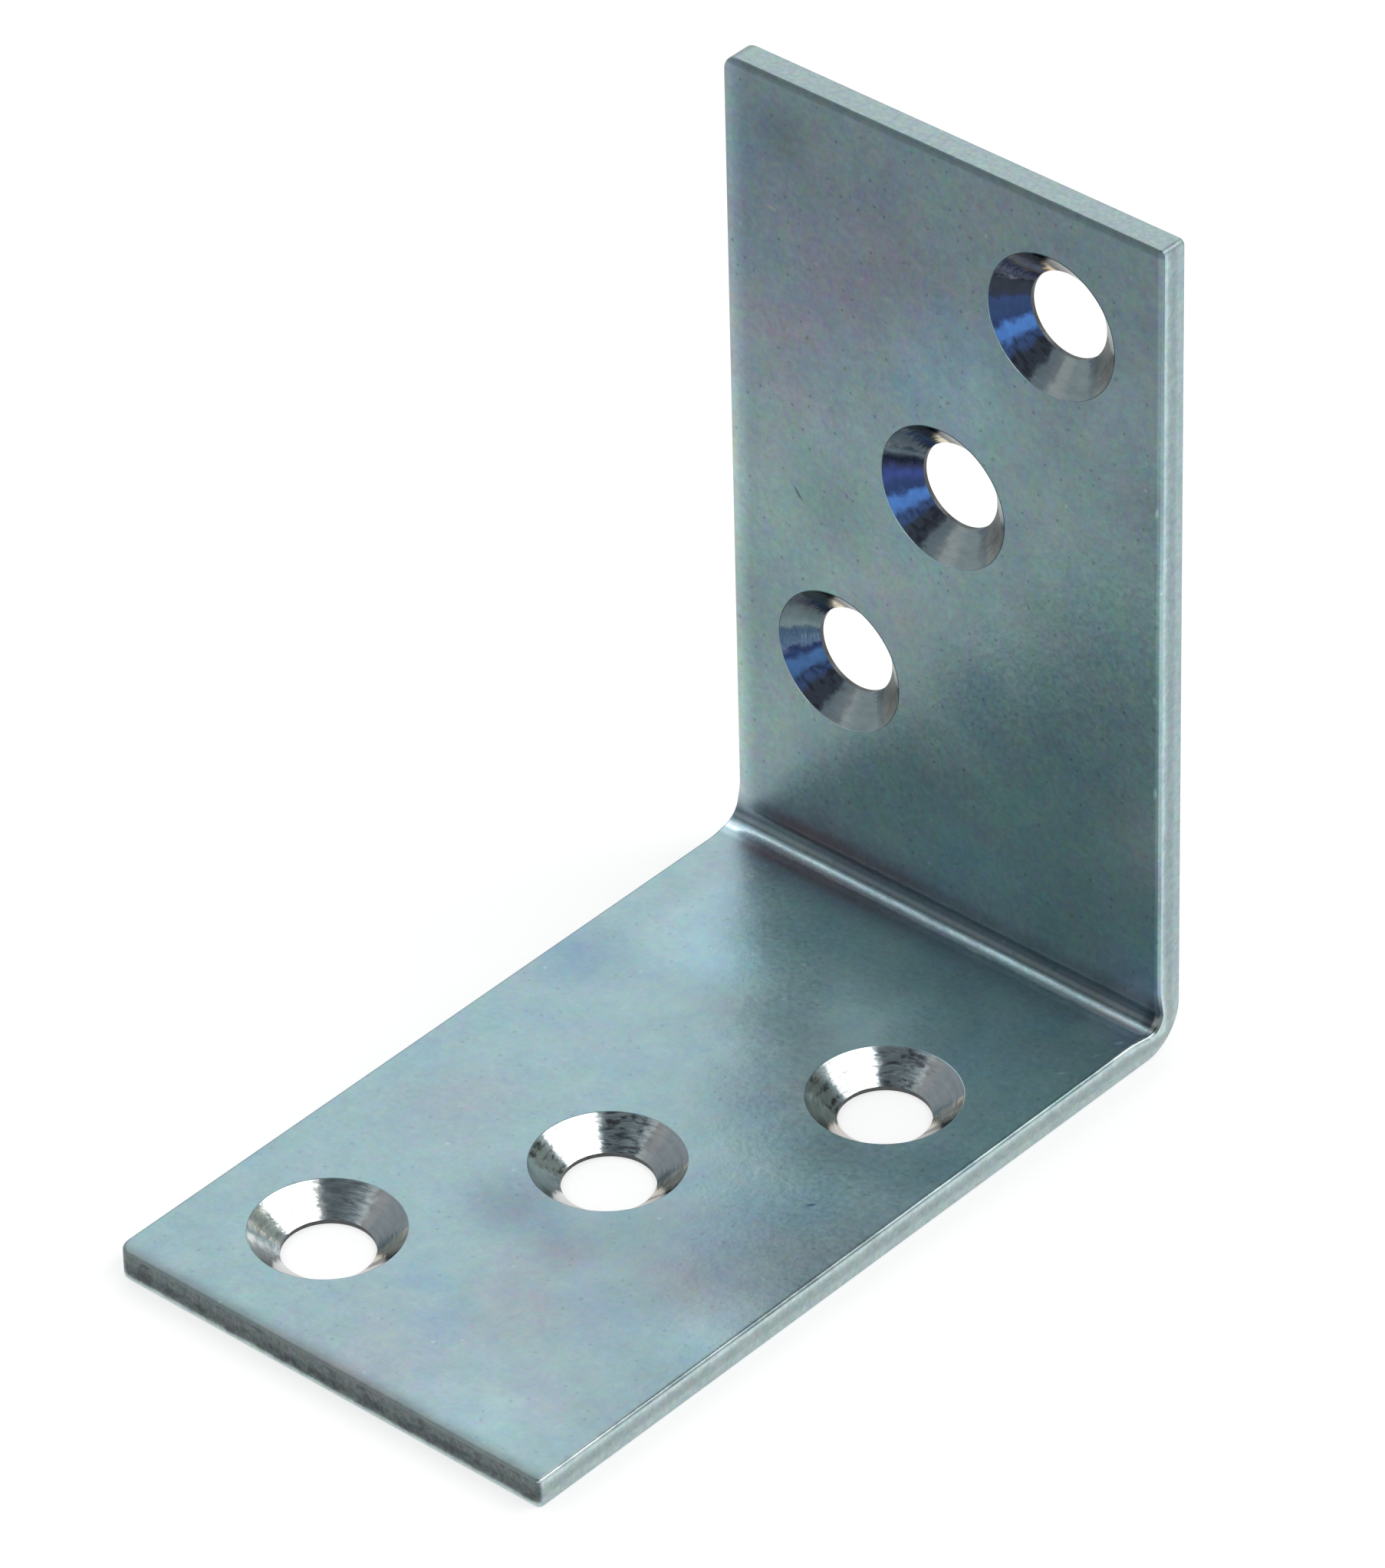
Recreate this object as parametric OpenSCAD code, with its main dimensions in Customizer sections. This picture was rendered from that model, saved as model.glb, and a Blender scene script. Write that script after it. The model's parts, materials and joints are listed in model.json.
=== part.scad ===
// Angle bracket: one strip of zinc plated sheet steel, bent square, with a slanting row of
// countersunk screw holes in each leg.
// X runs along the bend. The base leg lies on Z = 0 and ends towards -Y. The upright leg stands at
// the +Y side, with its back turned to +Y. The origin is the middle of the bracket's footprint.

/* [Strip] */
// Width of the strip
strip_w = 35; // [30:1:80]
// Thickness of the sheet
sheet_t = 2; // [1.5:0.1:3]
// Length of the base leg, from the back of the bracket to the leg's end
base_len = 60; // [50:1:120]
// Height of the upright leg, from the underside of the bracket to the leg's end
upright_len = 60; // [50:1:120]

/* [Edges] */
// Radius of the legs' corners on the -X side
left_corner_r = 1.1; // [0.4:0.1:5]
// Radius of the legs' corners on the +X side
right_corner_r = 0.4; // [0.4:0.1:5]
// Radius of the rolled edge that shearing leaves round the inner faces
edge_r = 0.25; // [0.1:0.05:0.35]

/* [Bend] */
// Inner radius of the bend
bend_r = 1.2; // [0.8:0.1:4]
// How far the squeezed metal inside the bend stands proud of the strip's sides
bulge_h = 0.3; // [0.1:0.05:0.5]
// Reach of that bulge from the inside of the bend
bulge_reach = 2.2; // [1.5:0.1:4]

/* [Holes] */
// Number of holes in each leg
hole_count = 3; // [2:1:3]
// Diameter of the screw holes
hole_d = 6; // [3:0.1:6.5]
// Diameter of the countersinks where they open into the inner faces
sink_d = 10; // [7:0.1:12]
// Length of the straight wall below each countersink
land_h = 0.3; // [0.2:0.05:0.8]
// Distance of the hole nearest to the bend from the outer face of the other leg
hole_first = 18.2; // [14:0.1:22]
// Distance of the base leg's last hole from the leg's end
base_hole_last = 9.7; // [7:0.1:14]
// Distance of the upright leg's last hole from the leg's end
upright_hole_last = 9; // [7:0.1:14]
// Distance of the first and last holes from the nearer side of the strip
hole_side = 8.75; // [6.5:0.25:12]

/* [Hidden] */
$fn = 96;

// Outer radius of the bend
outer_r = bend_r + sheet_t;
// Distance of the first and last holes from the strip's centre line
hole_off = strip_w / 2 - hole_side;
// Radius of the ball whose cap makes the bulge, and the place of its top inside the bend
bulge_ball = (bulge_reach * bulge_reach + bulge_h * bulge_h) / (2 * bulge_h);
bulge_at = outer_r - bend_r * cos(45);
// Line that halves the bracket's corner
HALVING = [0, -1, 1];
// How far a cutter runs past the face that it opens
over = 0.5;

// Section of the strip, outer face down, with the rolled edges of its inner face
module strip_section() {
  difference() {
    translate([-strip_w / 2, 0]) square([strip_w, sheet_t]);
    for (side = [0, 1])
      mirror([side, 0]) translate([strip_w / 2, sheet_t]) roll_profile();
  }
}

// What rolling takes off an edge whose metal lies towards -X and -Y
module roll_profile() {
  difference() {
    translate([-edge_r, -edge_r]) square(edge_r + over);
    translate([-edge_r, -edge_r]) circle(edge_r);
  }
}

// Cutter that rounds one corner of a leg's outline
module corner_cutter(corner_r) {
  translate([-corner_r, corner_r, -over])
    linear_extrude(sheet_t + 2 * over)
      difference() {
        translate([0, -corner_r - over]) square(corner_r + over);
        circle(corner_r);
      }
}

// Cutter for the rolled edge across the end of a leg, between its corners
module end_roll(corners) {
  translate([strip_w / 2 - corners[0], 0, sheet_t])
    rotate([90, 0, -90]) linear_extrude(strip_w - corners[0] - corners[1]) roll_profile();
}

// Cutter for the rolled edge round one corner of a leg
module corner_roll(corner_r) {
  translate([-corner_r, corner_r, sheet_t])
    rotate([0, 0, -90])
      rotate_extrude(angle = 90) translate([corner_r, 0]) roll_profile();
}

// One screw hole with its countersink, opening upwards
module screw_hole() {
  translate([0, 0, -over]) cylinder(d = hole_d, h = land_h + 2 * over);
  translate([0, 0, land_h]) cylinder(d1 = hole_d, d2 = sink_d, h = sheet_t - land_h);
  translate([0, 0, sheet_t]) cylinder(d = sink_d, h = over);
}

// Slanting row of screw holes in a leg of the given length, the last at a distance from the leg's end
module hole_row(len, last) {
  for (i = [0 : hole_count - 1]) {
    share = i / (hole_count - 1);
    along = hole_first + share * (len - last - hole_first);
    translate([(1 - 2 * share) * hole_off, -along, 0]) screw_hole();
  }
}

// One leg as it lies on its outer face, from the bend towards -Y, with the distance of its last
// hole from its end and the radii of its two corners: first the one at +X, then the one at -X
module leg(len, last, corners) {
  difference() {
    translate([0, -outer_r, 0]) rotate([90, 0, 0]) linear_extrude(len - outer_r) strip_section();
    translate([0, -len, 0]) {
      end_roll(corners);
      for (side = [0, 1])
        mirror([side, 0, 0])
          translate([strip_w / 2, 0, 0]) {
            corner_cutter(corners[side]);
            corner_roll(corners[side]);
          }
    }
    hole_row(len, last);
  }
}

// The bend: a quarter turn of the strip's section
module bend() {
  translate([0, -outer_r, outer_r])
    rotate([0, 90, 0])
      rotate_extrude(angle = 90) translate([outer_r, 0]) rotate(90) strip_section();
}

// Room inside a square corner that is rounded to the given radius
module corner_room(r, size) {
  translate([-size, r]) square([size, size - r]);
  translate([-size, 0]) square([size - r, size]);
  translate([-r, r]) circle(r);
}

// Metal squeezed out at one end of the bend: the cap of a ball, held to the sheet's thickness
module bulge() {
  size = outer_r + bulge_reach;
  intersection() {
    translate([strip_w / 2 + bulge_h - bulge_ball, -bulge_at, bulge_at]) sphere(bulge_ball);
    translate([strip_w / 2 - edge_r, 0, 0])
      rotate([90, 0, 90])
        linear_extrude(edge_r + bulge_h + over)
          difference() {
            corner_room(outer_r, size);
            translate([-sheet_t, sheet_t]) corner_room(bend_r, size);
          }
  }
}

module bracket() {
  color([0.62, 0.69, 0.72])
    translate([0, base_len / 2, 0]) {
      leg(base_len, base_hole_last, [right_corner_r, left_corner_r]);
      rotate(a = 180, v = HALVING) leg(upright_len, upright_hole_last, [left_corner_r, right_corner_r]);
      bend();
      for (side = [0, 1])
        mirror([side, 0, 0]) bulge();
    }
}

bracket();
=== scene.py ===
"""Zinc plated angle bracket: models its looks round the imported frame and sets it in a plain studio."""
import json
import logging
import math
from dataclasses import dataclass
from enum import Enum
from typing import Any, Callable, Sequence

import bmesh
import bpy
from mathutils import Matrix, Vector


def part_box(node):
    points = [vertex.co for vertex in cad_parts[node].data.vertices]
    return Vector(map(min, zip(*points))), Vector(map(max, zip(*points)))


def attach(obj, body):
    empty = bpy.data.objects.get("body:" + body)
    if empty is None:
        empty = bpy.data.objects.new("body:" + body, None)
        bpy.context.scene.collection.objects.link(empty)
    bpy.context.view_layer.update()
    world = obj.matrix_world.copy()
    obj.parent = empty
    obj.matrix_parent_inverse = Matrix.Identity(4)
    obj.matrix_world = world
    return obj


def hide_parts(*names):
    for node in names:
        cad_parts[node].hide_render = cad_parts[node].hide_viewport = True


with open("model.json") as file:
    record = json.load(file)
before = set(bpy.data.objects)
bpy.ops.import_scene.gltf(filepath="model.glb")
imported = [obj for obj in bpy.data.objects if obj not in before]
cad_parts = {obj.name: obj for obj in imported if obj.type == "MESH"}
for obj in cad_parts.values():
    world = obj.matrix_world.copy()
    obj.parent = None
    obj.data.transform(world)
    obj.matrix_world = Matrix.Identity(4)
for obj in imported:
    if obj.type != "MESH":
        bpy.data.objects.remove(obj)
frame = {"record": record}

LOG = logging.getLogger("bracket")
MM = 0.001
TO_MM = 1.0 / MM
NEAR = 0.01 * MM
WELD = 0.001 * MM
OVERLAP = 0.5 * MM
PHOTO_SIZE = (1806, 2044)
Color = tuple[float, float, float]


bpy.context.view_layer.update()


class Skin(Enum):
    """Surfaces of the strip that have a finish of their own, by material slot."""

    INNER = 0
    OUTER = 1
    SHEARED = 2
    SINK = 3
    LAND = 4


@dataclass(frozen=True)
class StripSizes:
    """Sizes of the bent strip, in metres.

    Attributes:
        width: Width of the strip, without the bulges at the bend.
        thickness: Thickness of the sheet.
        end_y: Where the base leg ends.
        back_y: Outer face of the upright leg.
        top_z: Where the upright leg ends.
        bulge: How far the squeezed metal inside the bend stands out.
        bend_r: Inner radius of the bend.
        left_corner: Radius of the corners on the -X side.
        right_corner: Radius of the corners on the +X side.
        roll: Radius of the rolled edge round the inner faces.
        burr: Width of the small break round the outer faces.
    """

    width: float
    thickness: float
    end_y: float
    back_y: float
    top_z: float
    bulge: float
    bend_r: float = 1.2 * MM
    left_corner: float = 1.1 * MM
    right_corner: float = 0.4 * MM
    roll: float = 0.25 * MM
    burr: float = 0.06 * MM

    @property
    def outer_r(self) -> float:
        """Outer radius of the bend."""
        return self.bend_r + self.thickness

    @property
    def bend_y(self) -> float:
        """Where the base leg turns into the bend."""
        return self.back_y - self.outer_r

    @property
    def half(self) -> float:
        """Half of the strip's width."""
        return self.width / 2


@dataclass(frozen=True)
class Hole:
    """One countersunk screw hole.

    Attributes:
        center: Point on the hole's axis, in the outer face's plane.
        axis: Direction in which the countersink opens.
        radius: Radius of the straight wall.
        land: Length of the straight wall.
        sink_radius: Radius of the countersink at the inner face.
    """

    center: Vector
    axis: Vector
    radius: float
    land: float
    sink_radius: float = 5.0 * MM

    def reach(self, point: Vector) -> float:
        """Distance of a point from the hole's axis."""
        offset = point - self.center
        return (offset - offset.dot(self.axis) * self.axis).length

    def depth(self, point: Vector) -> float:
        """Distance of a point from the outer face, along the axis."""
        return (point - self.center).dot(self.axis)

    def from_rim(self, point: Vector, thickness: float) -> float:
        """How far a point is from the countersink's rim, out from the axis or along it."""
        return max(abs(self.reach(point) - self.sink_radius), abs(self.depth(point) - thickness))

    def local(self, point: Vector) -> tuple[float, float]:
        """Gives the place of a point across the axis.

        Args:
            point: The point.

        Returns:
            How far it is to the right and up the sheet, in radii of the countersink.
        """
        offset = point - self.center
        up_sheet = Vector((0, 0, 1)) if abs(self.axis.y) > 0.5 else Vector((0, 1, 0))
        return offset.x / self.sink_radius, offset.dot(up_sheet) / self.sink_radius


class EditBench:
    """Edit mode on one object, with elements chosen by a test on their place or normal."""

    def __init__(self, obj: bpy.types.Object) -> None:
        """Takes the object to work on.

        Args:
            obj: Mesh object.
        """
        self.obj = obj

    def __enter__(self) -> "EditBench":
        """Selects the object alone and enters edit mode.

        Returns:
            The bench itself.
        """
        bpy.ops.object.select_all(action="DESELECT")
        bpy.context.view_layer.objects.active = self.obj
        self.obj.select_set(True)
        bpy.ops.object.mode_set(mode="EDIT")
        return self

    def __exit__(self, *_: Any) -> None:
        """Goes back to object mode."""
        bpy.ops.object.mode_set(mode="OBJECT")

    def everything(self) -> None:
        """Selects the whole mesh."""
        bpy.ops.mesh.select_all(action="SELECT")

    def pick(self, kind: str, test: Callable[[Any], bool]) -> int:
        """Selects the elements that pass a test, and nothing else.

        Args:
            kind: VERT, EDGE or FACE.
            test: Says whether an element is wanted.

        Returns:
            How many were selected.
        """
        bpy.ops.mesh.select_mode(type=kind)
        bpy.ops.mesh.select_all(action="DESELECT")
        mesh = bmesh.from_edit_mesh(self.obj.data)
        elements = {"VERT": mesh.verts, "EDGE": mesh.edges, "FACE": mesh.faces}[kind]
        wanted = [element for element in elements if test(element)]
        for element in wanted:
            element.select_set(True)
        mesh.select_flush_mode()
        bmesh.update_edit_mesh(self.obj.data)
        return len(wanted)

    def cut(self, point: Sequence[float], normal: Sequence[float]) -> None:
        """Cuts the whole mesh along a plane and keeps both sides.

        Args:
            point: Point on the plane.
            normal: The plane's normal.
        """
        self.everything()
        bpy.ops.mesh.bisect(plane_co=point, plane_no=normal)

    def round_edges(self, test: Callable[[Any], bool], radius: float, segments: int) -> int:
        """Rounds the edges that pass a test.

        Args:
            test: Says whether an edge is wanted.
            radius: Radius of the rounding on a square edge.
            segments: Faces across the rounding.

        Returns:
            How many edges were rounded.
        """
        count = self.pick("EDGE", test)
        if count:
            bpy.ops.mesh.bevel(
                offset=radius, segments=segments, profile=0.5, affect="EDGES", clamp_overlap=False
            )
        return count


def apply_modifier(obj: bpy.types.Object, kind: str, **settings: Any) -> None:
    """Adds a modifier to an object and applies it at once.

    Args:
        obj: The object.
        kind: Blender's name for the type of modifier.
        **settings: The modifier's settings.
    """
    bpy.ops.object.select_all(action="DESELECT")
    bpy.context.view_layer.objects.active = obj
    obj.select_set(True)
    modifier = obj.modifiers.new(kind.lower(), kind)
    for name, value in settings.items():
        setattr(modifier, name, value)
    bpy.ops.object.modifier_apply(modifier=modifier.name)


class Strip:
    """The bent strip: one mesh with its bend, corners, rolled edges and countersunk holes.

    Attributes:
        BEND_STEPS: Sections of the bend.
        SECTION_CUTS: Where the sheet's edges are divided, in shares of the thickness.
        BULGE_CUTS: Cuts on either side of the bend, between which the bulges swell.
        BULGE_REACH: How far from the bend the bulges start.
        BULGE_TOP: How near to a bulge's top a vertex is pushed out in full.
        BULGE_SHARE: Share of the bulge's height that is pushed out.
        RIM_SIDES: Sides of the holes.
        RIM_ROUND: Radius of the rounding on the countersinks' rims.
        SMOOTH_BELOW: Angle up to which an edge is shaded smooth.
    """

    BEND_STEPS = 16
    SECTION_CUTS = (0.3, 0.7)
    BULGE_CUTS = 6
    BULGE_REACH = 2.4 * MM
    BULGE_TOP = 0.25 * MM
    BULGE_SHARE = 0.96
    RIM_SIDES = 128
    RIM_ROUND = 0.035 * MM
    SMOOTH_BELOW = math.radians(35)

    def __init__(self, sizes: StripSizes, holes: Sequence[Hole]) -> None:
        """Takes the sizes and the holes.

        Args:
            sizes: Sizes of the strip.
            holes: The screw holes.
        """
        self.sizes = sizes
        self.holes = holes
        self.obj: bpy.types.Object | None = None

    def inward(self, point: Vector) -> Vector:
        """Gives the direction through the sheet towards the inside of the corner.

        Args:
            point: Point of the strip.

        Returns:
            The direction there, of length 1.
        """
        s = self.sizes
        if point.y < s.bend_y:
            return Vector((0, 0, 1))
        if point.z > s.outer_r:
            return Vector((0, -1, 0))
        return Vector((0, s.bend_y - point.y, s.outer_r - point.z)).normalized()

    def side_of(self, face: Any) -> float:
        """How much a face looks through the sheet: 1 inwards, -1 outwards and 0 at the edges."""
        return face.normal.dot(self.inward(face.calc_center_median()))

    def blank(self) -> None:
        """Makes the strip: a block for the base leg, a quarter turn of its end, and the upright leg."""
        s = self.sizes
        bpy.ops.object.select_all(action="DESELECT")
        bpy.ops.mesh.primitive_cube_add(
            size=1,
            location=(0, (s.end_y + s.bend_y) / 2, s.thickness / 2),
            scale=(s.width, s.bend_y - s.end_y, s.thickness),
        )
        self.obj = bpy.context.active_object
        self.obj.name = "plated_strip"
        bpy.ops.object.transform_apply(location=True, rotation=True, scale=True)
        with EditBench(self.obj) as bench:
            for share in self.SECTION_CUTS:
                bench.cut((0, 0, share * s.thickness), (0, 0, 1))
            bench.pick("FACE", lambda f: f.normal.y > 0.9)
            bpy.ops.mesh.spin(
                steps=self.BEND_STEPS,
                angle=math.radians(-90),
                center=(0, s.bend_y, s.outer_r),
                axis=(1, 0, 0),
            )
            rise = s.top_z - s.outer_r
            bpy.ops.mesh.extrude_region_move(TRANSFORM_OT_translate={"value": (0, 0, rise)})
            bpy.ops.mesh.select_mode(type="FACE")
            bpy.ops.mesh.select_all(action="DESELECT")
            bpy.ops.mesh.select_interior_faces()
            bpy.ops.mesh.delete(type="FACE")
            bench.everything()
            bpy.ops.mesh.remove_doubles(threshold=WELD)
            bpy.ops.mesh.normals_make_consistent(inside=False)

    def round_corners(self) -> None:
        """Rounds the outer corners of both legs."""
        s = self.sizes
        with EditBench(self.obj) as bench:
            for sign, radius in ((-1, s.left_corner), (1, s.right_corner)):

                def at_corner(edge: Any, sign: int = sign) -> bool:
                    """Says whether an edge runs through the sheet at a leg's outer corner.

                    Args:
                        edge: The edge.
                        sign: Side of the strip, -1 or 1.

                    Returns:
                        True for such an edge on that side.
                    """
                    beside = all(abs(v.co.x - sign * s.half) < NEAR for v in edge.verts)
                    base = all(abs(v.co.y - s.end_y) < NEAR for v in edge.verts)
                    top = all(abs(v.co.z - s.top_z) < NEAR for v in edge.verts)
                    return beside and (base or top)

                bench.round_edges(at_corner, radius, 8 if sign < 0 else 5)

    def squeeze(self) -> None:
        """Pushes out the metal at both ends of the bend's inside."""
        s = self.sizes
        with EditBench(self.obj) as bench:
            for i in range(1, self.BULGE_CUTS + 1):
                step = self.BULGE_REACH * i / self.BULGE_CUTS
                bench.cut((0, s.bend_y - step, 0), (0, 1, 0))
                bench.cut((0, 0, s.outer_r + step), (0, 0, 1))
            drop = s.bend_r * math.sqrt(0.5)
            top = Vector((0, s.bend_y + drop, s.outer_r - drop))
            for sign in (-1, 1):

                def at_top(vert: Any, sign: int = sign) -> bool:
                    """Says whether a vertex lies at the bulge's top, on the strip's side."""
                    off_top = (vert.co.yz - top.yz).length
                    return vert.co.x * sign > s.half - NEAR and off_top < self.BULGE_TOP

                bench.pick("VERT", at_top)
                bpy.ops.transform.translate(
                    value=(sign * s.bulge * self.BULGE_SHARE, 0, 0),
                    use_proportional_edit=True,
                    proportional_edit_falloff="SMOOTH",
                    proportional_size=self.BULGE_REACH,
                )

    def roll_edges(self) -> None:
        """Rounds the edges of the inner face and breaks those of the outer face."""
        with EditBench(self.obj) as bench:

            def borders(edge: Any, sign: int) -> bool:
                """Says whether an edge lies between the sheet's edge and one of its faces.

                Args:
                    edge: The edge.
                    sign: 1 for the inner face, -1 for the outer.

                Returns:
                    True for such an edge.
                """
                if len(edge.link_faces) != 2:
                    return False
                sides = sorted(self.side_of(face) * sign for face in edge.link_faces)
                return abs(sides[0]) < 0.5 and sides[1] > 0.7

            bench.round_edges(lambda e: borders(e, 1), self.sizes.roll, 5)
            bench.round_edges(lambda e: borders(e, -1), self.sizes.burr, 2)

    def drill(self) -> None:
        """Cuts the screw holes with their countersinks, and softens their rims."""
        s = self.sizes
        for hole in self.holes:
            bpy.ops.object.select_all(action="DESELECT")
            bpy.ops.mesh.primitive_cylinder_add(
                vertices=self.RIM_SIDES,
                radius=hole.radius,
                depth=hole.land + OVERLAP,
                location=(0, 0, (hole.land - OVERLAP) / 2),
            )
            cutter = bpy.context.active_object
            bpy.ops.object.transform_apply(location=True, rotation=True, scale=True)
            with EditBench(cutter) as bench:
                bench.pick("FACE", lambda f: f.normal.z > 0.9)
                bpy.ops.mesh.extrude_region_move(
                    TRANSFORM_OT_translate={"value": (0, 0, s.thickness - hole.land)}
                )
                flare = hole.sink_radius / hole.radius
                bpy.ops.transform.resize(value=(flare, flare, 1), center_override=(0, 0, s.thickness))
                bpy.ops.mesh.extrude_region_move(TRANSFORM_OT_translate={"value": (0, 0, OVERLAP)})
            turn = Vector((0, 0, 1)).rotation_difference(hole.axis)
            cutter.matrix_world = Matrix.Translation(hole.center) @ turn.to_matrix().to_4x4()
            apply_modifier(self.obj, "BOOLEAN", operation="DIFFERENCE", solver="EXACT", object=cutter)
            bpy.data.objects.remove(cutter, do_unlink=True)

        def on_rim(edge: Any) -> bool:
            """Says whether an edge is part of a countersink's rim.

            Args:
                edge: The edge.

            Returns:
                True if both its ends lie on one rim.
            """
            return any(
                all(hole.from_rim(v.co, s.thickness) < 2 * NEAR for v in edge.verts)
                for hole in self.holes
            )

        with EditBench(self.obj) as bench:
            LOG.info("rim edges softened: %d", bench.round_edges(on_rim, self.RIM_ROUND, 2))

    def sort_skins(self) -> None:
        """Gives each face its material slot, and the countersinks their own map."""
        mesh = bmesh.new()
        mesh.from_mesh(self.obj.data)
        turning = mesh.loops.layers.uv.new("Turning")
        for face in mesh.faces:
            center = face.calc_center_median()
            side = self.side_of(face)
            hole = min(self.holes, key=lambda h: (h.center - center).length)
            inside = hole.reach(center) < hole.sink_radius * 0.985
            if inside and abs(side) < 0.05 and hole.reach(center) < hole.radius * 1.01:
                skin = Skin.LAND
            elif inside and 0.2 < side < 0.97:
                skin = Skin.SINK
            elif abs(side) < 0.35:
                skin = Skin.SHEARED
            else:
                skin = Skin.INNER if side > 0 else Skin.OUTER
            face.material_index = skin.value
            for loop in face.loops:
                loop[turning].uv = hole.local(loop.vert.co)
        mesh.to_mesh(self.obj.data)
        mesh.free()

    def build(self) -> bpy.types.Object:
        """Runs all the steps.

        Returns:
            The finished strip.
        """
        self.blank()
        self.round_corners()
        self.squeeze()
        self.roll_edges()
        self.drill()
        self.sort_skins()
        bpy.ops.object.select_all(action="DESELECT")
        self.obj.select_set(True)
        bpy.context.view_layer.objects.active = self.obj
        bpy.ops.object.shade_smooth_by_angle(angle=self.SMOOTH_BELOW)
        apply_modifier(self.obj, "WEIGHTED_NORMAL", keep_sharp=True, weight=100)
        return self.obj


class Num:
    """A number in a material, on which Python's operators add Math nodes."""

    def __init__(self, bench: "ShaderBench", socket: Any) -> None:
        """Takes the number's source.

        Args:
            bench: Material that the number belongs to.
            socket: Output socket, or a plain number.
        """
        self.bench = bench
        self.socket = socket

    def op(self, operation: str, *others: Any, clamp: bool = False) -> "Num":
        """Adds a Math node on this number.

        Args:
            operation: The node's operation.
            *others: Its other inputs.
            clamp: Whether to hold the result between 0 and 1.

        Returns:
            The node's result.
        """
        inputs = dict(enumerate((self, *others)))
        node = self.bench.add("ShaderNodeMath", {"operation": operation, "use_clamp": clamp}, inputs)
        return Num(self.bench, node.outputs[0])

    def flip(self, operation: str, other: Any) -> "Num":
        """Adds a Math node with this number in second place."""
        return Num(self.bench, other).op(operation, self)

    def __add__(self, other: Any) -> "Num":
        """Sum."""
        return self.op("ADD", other)

    def __radd__(self, other: Any) -> "Num":
        """Sum with the number at the right."""
        return self.op("ADD", other)

    def __sub__(self, other: Any) -> "Num":
        """Difference."""
        return self.op("SUBTRACT", other)

    def __rsub__(self, other: Any) -> "Num":
        """Difference with the number at the right."""
        return self.flip("SUBTRACT", other)

    def __mul__(self, other: Any) -> "Num":
        """Product."""
        return self.op("MULTIPLY", other)

    def __rmul__(self, other: Any) -> "Num":
        """Product with the number at the right."""
        return self.op("MULTIPLY", other)

    def __pow__(self, other: Any) -> "Num":
        """Power."""
        return self.op("POWER", other)

    def over(self, other: Any) -> "Num":
        """The greater of this number and another."""
        return self.op("MAXIMUM", other)

    def clamped(self) -> "Num":
        """The number held between 0 and 1."""
        return self.op("ADD", 0.0, clamp=True)

    def step(self, low: float, high: float) -> "Num":
        """Smooth rise from 0 to 1.

        Args:
            low: Where the rise starts. It may lie above high, and then the number falls.
            high: Where it ends.

        Returns:
            The risen number.
        """
        settings = {"interpolation_type": "SMOOTHSTEP"}
        inputs = {"Value": self, "From Min": low, "From Max": high, "To Min": 0.0, "To Max": 1.0}
        if low > high:
            inputs.update({"From Min": high, "From Max": low, "To Min": 1.0, "To Max": 0.0})
        return Num(self.bench, self.bench.add("ShaderNodeMapRange", settings, inputs).outputs["Result"])

    def band(self, start: float, end: float, soft: float) -> "Num":
        """Window: 1 between two values and 0 outside them.

        Args:
            start: Where the window opens.
            end: Where it closes.
            soft: Width of its soft edges.

        Returns:
            The window.
        """
        return self.step(start - soft / 2, start + soft / 2) * self.step(end + soft / 2, end - soft / 2)


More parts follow.
